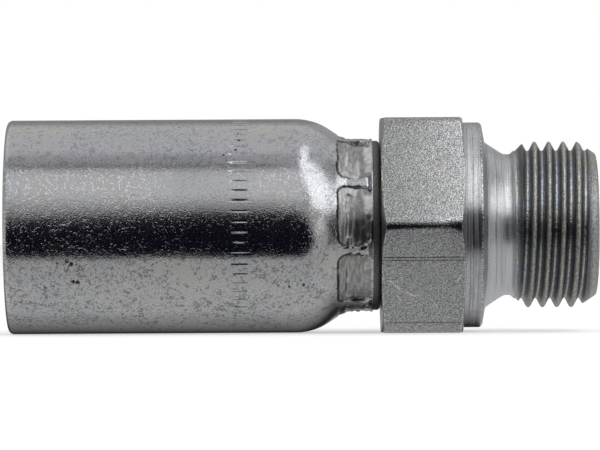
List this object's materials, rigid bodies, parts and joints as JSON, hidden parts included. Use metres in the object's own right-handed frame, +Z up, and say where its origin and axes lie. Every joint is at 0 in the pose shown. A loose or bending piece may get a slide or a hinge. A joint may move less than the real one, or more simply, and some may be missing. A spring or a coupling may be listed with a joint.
{
  "type": "male hose fitting",
  "caption": "Straight crimp hose fitting: staked ferrule over a barbed tail, wrench hexagon, flange and male parallel pipe thread with an inner cone seat.",
  "frame": {"origin": "on the surface the fitting lies on, below the middle of its length", "axes": "+X along the fitting's axis towards the threaded end, +Z up from the hexagon flat it rests on"},
  "size_m": [0.0742, 0.0308, 0.027],
  "materials": {
    "ferrule_zinc": "bright zinc plate, lightly pitted and rubbed",
    "stem_zinc": "satin zinc plate with fine turning marks"
  },
  "bodies": {
    "root": {"crimp_ferrule": "ferrule_zinc", "threaded_stem": "stem_zinc"}
  },
  "joints": []
}
